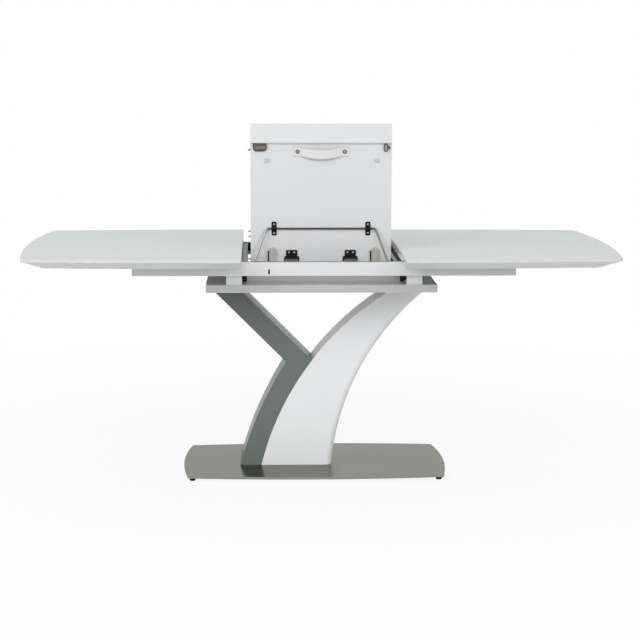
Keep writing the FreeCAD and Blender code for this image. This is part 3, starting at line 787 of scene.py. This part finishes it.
@dataclass
class Pedestal(SubAssembly):
    """Foot plate, its glides and the two limbs."""

    glides: int = 4

    def finishes(self) -> dict[str, Finish]:
        """Finish of the stand's pieces.

        Returns:
            Finishes by the piece's name.
        """
        found: dict[str, Finish] = {f"base_foot_{i + 1}": BLACK_RUBBER for i in range(self.glides)}
        found.update(base_plate=FOOT_STEEL, grey_leg=LIMB_GREY, white_leg=LIMB_WHITE, leg_bolts=ZINC_STEEL)
        return found


@dataclass
class FixedFrame(SubAssembly):
    """Plate, bearers, rails and slide channels that stay still."""

    band_tall: float = 0.019

    def finishes(self) -> dict[str, Finish]:
        """Finish of the frame's pieces.

        Returns:
            Finishes by the piece's name.
        """
        band_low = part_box("side_rail_right")[1][2] - self.band_tall
        found: dict[str, Finish] = {
            "upper_plate": PLATE_SILVER, "plate_screws": ZINC_STEEL, "bail_bushes": DARK_NYLON,
            "rail_slot_plug": BLACK_RUBBER, "side_studs": BLACK_RUBBER, "side_end_blocks": BLACK_RUBBER,
            "side_rail_left": DARK_COAT,
            "side_rail_right": BandedRail("banded_rail", BLACK_COAT.tone, FRAME_WHITE.tone, band_low)}
        for depth in ("front", "back"):
            found[depth + "_rail"] = FRAME_WHITE
            found["channel_" + depth] = BLACK_COAT
        for side in ("left", "right"):
            found["end_rail_" + side] = FRAME_WHITE
            found["bearer_" + side] = FRAME_WHITE
        return found


@dataclass
class SlidingHalf(SubAssembly):
    """One sliding half of the top."""

    side: str = "left"

    def finishes(self) -> dict[str, Finish]:
        """Finish of the half's pieces.

        Returns:
            Finishes by the piece's name.
        """
        found: dict[str, Finish] = {
            self.side + "_board": BOARD_WHITE, self.side + "_glass": TOP_GLASS,
            self.side + "_runner_front": ZINC_STEEL, self.side + "_runner_back": ZINC_STEEL}
        if self.side == "right":
            found["right_pins"] = TURNED_BRASS
        return found


@dataclass
class FoldingLeaf(SubAssembly):
    """The folded leaf with its bail, hinges, latch and small hardware."""

    def finishes(self) -> dict[str, Finish]:
        """Finish of the leaf's pieces.

        Returns:
            Finishes by the piece's name.
        """
        found: dict[str, Finish] = {
            "bail_wire": BAIL_WIRE, "bail_sleeves": DARK_NYLON, "hinge_pins": ZINC_STEEL,
            "hinge_strips": ZINC_STEEL, "guide_bars": BLACK_RUBBER, "latch_base": DARK_BRONZE,
            "latch_lever": WORN_NICKEL, "catch": DARK_BRONZE, "screw_covers": GREY_CAP,
            "pull_strap": STRAP_HIDE, "strap_washers": DARK_BRONZE}
        for half in ("front", "back"):
            found[f"leaf_{half}_board"] = BOARD_WHITE
            found[f"leaf_{half}_glass"] = LEAF_GLASS
            found[f"leaf_{half}_pins"] = TURNED_BRASS
            found[f"leaf_{half}_screws"] = ZINC_STEEL
            for side in ("left", "right"):
                found[f"hinge_{half}_{side}"] = BLACK_COAT
        for side in ("left", "right"):
            found["clip_" + side] = BLACK_COAT
            found["guide_" + side] = BEIGE_NYLON
        return found


def smooth_mesh(name: str, points: np.ndarray, faces: list[list[int]]) -> bpy.types.Mesh:
    """Make a smooth shaded mesh.

    Args:
        name: the mesh's name.
        points: array whose last axis is x, y and z, in metres.
        faces: places of each face's corners in the flattened points.

    Returns:
        The mesh.
    """
    mesh = bpy.data.meshes.new(name)
    mesh.from_pydata(points.reshape(-1, 3).tolist(), [], faces)
    mesh.polygons.foreach_set("use_smooth", np.ones(len(mesh.polygons), bool))
    mesh.update()
    return mesh


def tube_mesh(name: str, points: np.ndarray) -> bpy.types.Mesh:
    """Skin rings that are carried along paths, with a face at both ends of each path.

    A side face joins two neighbouring places of a ring to the same places of the next ring, and the
    last place of a ring has the first as its neighbour.

    Args:
        name: the mesh's name.
        points: array of shape (paths, rings, places, 3), in metres.

    Returns:
        The mesh, smooth shaded.
    """
    index = np.arange(points[..., 0].size).reshape(points.shape[:-1])
    here, ahead = index[:, :-1], index[:, 1:]
    sides = np.stack([here, np.roll(here, -1, 2), np.roll(ahead, -1, 2), ahead], -1)
    ends = np.concatenate([index[:, 0, ::-1], index[:, -1]])
    return smooth_mesh(name, points, sides.reshape(-1, 4).tolist() + ends.tolist())


@dataclass
class PullStrap:
    """Soft strap screwed to the leaf at both ends, bulging and sagging between, with sewn edges."""

    palette: Palette
    face_y: float = -0.190
    height: float = 1.070
    half_long: float = 0.0915
    flat_from: float = 0.069
    curve_power: float = 1.15
    wide: float = 0.030
    thick: float = 0.0020
    bulge: float = 0.012
    sag: float = 0.0080
    low_share: float = 1.2
    end_round: float = 0.006
    end_shrink: float = 0.98
    end_power: int = 4
    section_power: float = 0.35
    rim_from: float = 0.86
    rim_thin: float = 0.45
    rows: int = 121
    ring: int = 40
    stitches: int = 46
    stitch_inset: float = 0.0028
    stitch_clear: float = 0.016
    stitch_half: float = 0.0013
    stitch_radius: float = 0.00042
    stitch_flat: float = 0.6
    stitch_reach: float = 0.98
    stitch_rows: int = 5
    stitch_ring: int = 6

    def line(self, x: np.ndarray) -> tuple[np.ndarray, np.ndarray, np.ndarray]:
        """Lift off the board and heights of both edges at places along the strap.

        With c = cos(pi / 2 min(1, |x| / flat_from)) ^ curve_power, the lift is bulge c, the upper edge
        drops by sag c and the lower edge by low_share sag c.

        Args:
            x: places along the strap.

        Returns:
            Lift, height of the lower edge and height of the upper edge.
        """
        share = np.minimum(1, np.abs(x) / self.flat_from)
        wave = np.maximum(0, np.cos(np.pi / 2 * share)) ** self.curve_power
        low = self.height - self.wide / 2 - self.low_share * self.sag * wave
        high = self.height + self.wide / 2 - self.sag * wave
        return self.bulge * wave, low, high

    def _squared(self, wave: np.ndarray) -> np.ndarray:
        """Raise a cosine or sine to section_power and keep its sign."""
        return np.sign(wave) * np.abs(wave) ** self.section_power

    def band(self) -> bpy.types.Object:
        """Build the band.

        A superellipse with half axes width / 2 and thick / 2, whose cosine and sine are raised to
        section_power, is carried along x. It gets thinner by rim_thin at its sewn rims, and over the
        last end_round of its length the width shrinks as sqrt(1 - end_shrink e^end_power), so the
        ends are round.

        Returns:
            The strap object.
        """
        x = self.half_long * np.sin(np.linspace(-np.pi / 2, np.pi / 2, self.rows))
        turn = np.linspace(0, 2 * np.pi, self.ring, endpoint=False)
        lift, low, high = self.line(x)
        end = np.clip((np.abs(x) - (self.half_long - self.end_round)) / self.end_round, 0, 1)
        narrow = np.sqrt(1 - self.end_shrink * end ** self.end_power)
        across = self._squared(np.cos(turn))
        rim = np.clip((np.abs(across) - self.rim_from) / (1 - self.rim_from), 0, 1)
        half = (1 - self.rim_thin * rim ** 2) * self.thick / 2
        y = self.face_y - lift[:, None] - self.thick / 2 - self._squared(np.sin(turn)) * half
        z = ((high + low) / 2)[:, None] + ((high - low) / 2 * narrow)[:, None] * across
        points = np.stack([np.broadcast_to(x[:, None], y.shape), y, z], -1)
        mesh = tube_mesh("pull_strap_soft", points[None])
        # the rim mask carries the painted shade along the strap's rims
        rim_shade = mesh.attributes.new(PAINTED_RIM_SHADE, "FLOAT", "POINT")
        rim_shade.data.foreach_set("value", np.broadcast_to(rim ** 2, y.shape).ravel().astype(np.float32))
        return bpy.data.objects.new("pull_strap_soft", mesh)

    def thread(self) -> bpy.types.Object:
        """Build two rows of short stitches that lie on the strap.

        Each stitch is a ring carried along x: s runs from -stitch_reach to stitch_reach and the ring's
        radius is stitch_radius sqrt(1 - s^2), flattened towards the strap by stitch_flat.

        Returns:
            The stitching object.
        """
        reach = self.half_long - self.stitch_clear
        s = np.linspace(-self.stitch_reach, self.stitch_reach, self.stitch_rows)
        turn = np.linspace(0, 2 * np.pi, self.stitch_ring, endpoint=False)
        radius = (self.stitch_radius * np.sqrt(1 - s ** 2))[:, None]
        along = np.linspace(-reach, reach, self.stitches)[:, None] + self.stitch_half * s
        lift, low, high = self.line(along)
        level = np.concatenate([low + self.stitch_inset, high - self.stitch_inset])
        front = np.tile(self.face_y - lift - self.thick, (2, 1))
        y = front[..., None] - radius * np.sin(turn) * self.stitch_flat
        z = level[..., None] + radius * np.cos(turn)
        x = np.broadcast_to(np.tile(along, (2, 1))[..., None], y.shape)
        mesh = tube_mesh("pull_strap_stitches", np.stack([x, y, z], -1))
        return bpy.data.objects.new("pull_strap_stitches", mesh)

    def build(self) -> None:
        """Put the strap and its stitching on the leaf."""
        for made, finish in ((self.band(), STRAP_HIDE), (self.thread(), THREAD)):
            bpy.context.scene.collection.objects.link(made)
            made.data.materials.append(self.palette.get(finish))
            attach(made, "leaf_front")
            log.info("built %s", made.name)
        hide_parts("pull_strap")


@dataclass(frozen=True)
class Lamp:
    """One large soft lamp, aimed at the middle of the table."""

    name: str
    spot: Place
    watts: float
    size: float = 2.6
    glare: bool = True


LAMPS = (Lamp("lamp_top", spot=(0.0, -0.3, 4.2), watts=6.0, size=3.6),
         Lamp("lamp_left", spot=(-3.4, -3.2, 3.0), watts=82.0),
         Lamp("lamp_right", spot=(2.8, -3.6, 2.8), watts=48.0),
         Lamp("lamp_front", spot=(-0.4, -4.8, 2.9), watts=55.0),
         Lamp("lamp_back", spot=(0.3, 3.2, 3.6), watts=18.0, glare=False))


@dataclass
class Studio:
    """Pale floor, soft lamps, white surroundings and the photograph's camera."""

    middle: Place = (0.0, 0.0, 0.6)
    eye: Place = (-0.1948, -5.5342, 1.3805)
    yaw: float = -0.036
    pitch: float = 0.158
    roll: float = 0.003
    focal_pixels: float = 1677.4
    image_pixels: float = 640.0
    sensor: float = 36.0
    sight: float = 100.0
    ambient: float = 0.38
    white_strength: float = 1.0
    shadow_from: float = 0.5
    shadow_to: float = 2.6
    white_share: float = 0.88
    floor_grey: float = 0.86
    floor_half: float = 12.0
    floor_lines: int = 7

    def camera(self) -> None:
        """Place the camera that was fitted to the photograph."""
        right = Vector((math.cos(self.yaw), math.sin(self.yaw), 0))
        level_ahead = Vector((-math.sin(self.yaw), math.cos(self.yaw), 0))
        ahead = level_ahead * math.cos(self.pitch) - Vector((0, 0, math.sin(self.pitch)))
        down = ahead.cross(right)
        level = right * math.cos(self.roll) - down * math.sin(self.roll)
        fall = right * math.sin(self.roll) + down * math.cos(self.roll)
        data = bpy.data.cameras.new("photo_camera")
        data.sensor_width = self.sensor
        data.lens = self.sensor * self.focal_pixels / self.image_pixels
        data.clip_end = self.sight
        made = bpy.data.objects.new("photo_camera", data)
        turn = Matrix((level, -fall, -ahead)).transposed().to_4x4()
        made.matrix_world = Matrix.Translation(self.eye) @ turn
        bpy.context.scene.collection.objects.link(made)
        bpy.context.scene.camera = made

    @staticmethod
    def _seen(graph: Graph) -> Socket:
        """Find the rays that show the surroundings: camera, glossy and transmission.

        Args:
            graph: the tree that needs the mask.

        Returns:
            The mask's socket.
        """
        path = graph.add("ShaderNodeLightPath")
        first = graph.maths("MAXIMUM", path.outputs["Is Camera Ray"], path.outputs["Is Glossy Ray"])
        return graph.maths("MAXIMUM", first, path.outputs["Is Transmission Ray"])

    def surroundings(self) -> None:
        """White surroundings that light the object at a plain level."""
        world = bpy.data.worlds.new("studio_white")
        world.use_nodes = True
        graph = Graph(world.node_tree)
        lit = graph.add("ShaderNodeBackground", {"Color": WHITE, "Strength": self.ambient})
        shown = graph.add("ShaderNodeBackground", {"Color": WHITE, "Strength": self.white_strength})
        graph.blend(self._seen(graph), lit, shown, graph.add("ShaderNodeOutputWorld"))
        bpy.context.scene.world = world

    def floor_finish(self) -> Material:
        """Build the floor's finish: matt where the shadow lies, running out to white.

        Returns:
            The material.
        """
        material = bpy.data.materials.new("pale_floor")
        material.use_nodes = True
        graph = Graph(material.node_tree)
        grey = (self.floor_grey, self.floor_grey, self.floor_grey, OPAQUE)
        matt = graph.add("ShaderNodeBsdfDiffuse", {"Color": grey})
        glow = graph.add("ShaderNodeEmission", {"Color": WHITE, "Strength": self.white_strength})
        far = graph.add("ShaderNodeVectorMath", operation="LENGTH")
        graph.wire(graph.add("ShaderNodeTexCoord").outputs["Object"], far.inputs[0])
        clear = graph.ramp(far.outputs["Value"], self.shadow_from, self.shadow_to, low=self.white_share)
        share = graph.maths("MULTIPLY", self._seen(graph), clear)
        graph.blend(share, matt, glow, graph.add("ShaderNodeOutputMaterial"))
        return material

    def floor(self) -> None:
        """Lay a flat square floor: a grid of lines that are evenly spaced in x and y at height 0."""
        lines = np.linspace(-self.floor_half, self.floor_half, self.floor_lines)
        across, along = np.meshgrid(lines, lines, indexing="ij")
        index = np.arange(across.size).reshape(across.shape)
        corners = [index[:-1, :-1], index[1:, :-1], index[1:, 1:], index[:-1, 1:]]
        faces = np.stack(corners, -1).reshape(-1, 4).tolist()
        points = np.stack([across, along, np.zeros_like(across)], -1)
        made = bpy.data.objects.new("pale_floor", smooth_mesh("pale_floor", points, faces))
        made.data.materials.append(self.floor_finish())
        bpy.context.scene.collection.objects.link(made)

    def lamps(self) -> None:
        """Large soft lamps all around the table; the rear one casts no glare."""
        for lamp in LAMPS:
            data = bpy.data.lights.new(lamp.name, "AREA")
            data.size = lamp.size
            data.energy = lamp.watts
            made = bpy.data.objects.new(lamp.name, data)
            made.location = lamp.spot
            made.visible_glossy = lamp.glare
            path = Vector(self.middle) - Vector(lamp.spot)
            made.rotation_euler = path.to_track_quat("-Z", "Y").to_euler()
            bpy.context.scene.collection.objects.link(made)

    def build(self) -> None:
        """Set the studio up."""
        bpy.context.scene.view_settings.view_transform = "Standard"
        self.surroundings()
        self.floor()
        self.lamps()
        self.camera()
        log.info("studio ready")


def main() -> None:
    """Dress the frame, make the soft pieces and set the studio."""
    logging.basicConfig(level=logging.INFO, format="%(name)s: %(message)s")
    palette = Palette()
    nodes = frame["nodes"]
    groups = (Pedestal(palette, nodes), FixedFrame(palette, nodes), SlidingHalf(palette, nodes, "left"),
              SlidingHalf(palette, nodes, "right"), FoldingLeaf(palette, nodes))
    for group in groups:
        group.dress()
    PullStrap(palette).build()
    Studio().build()


if __name__ == "__main__":
    main()
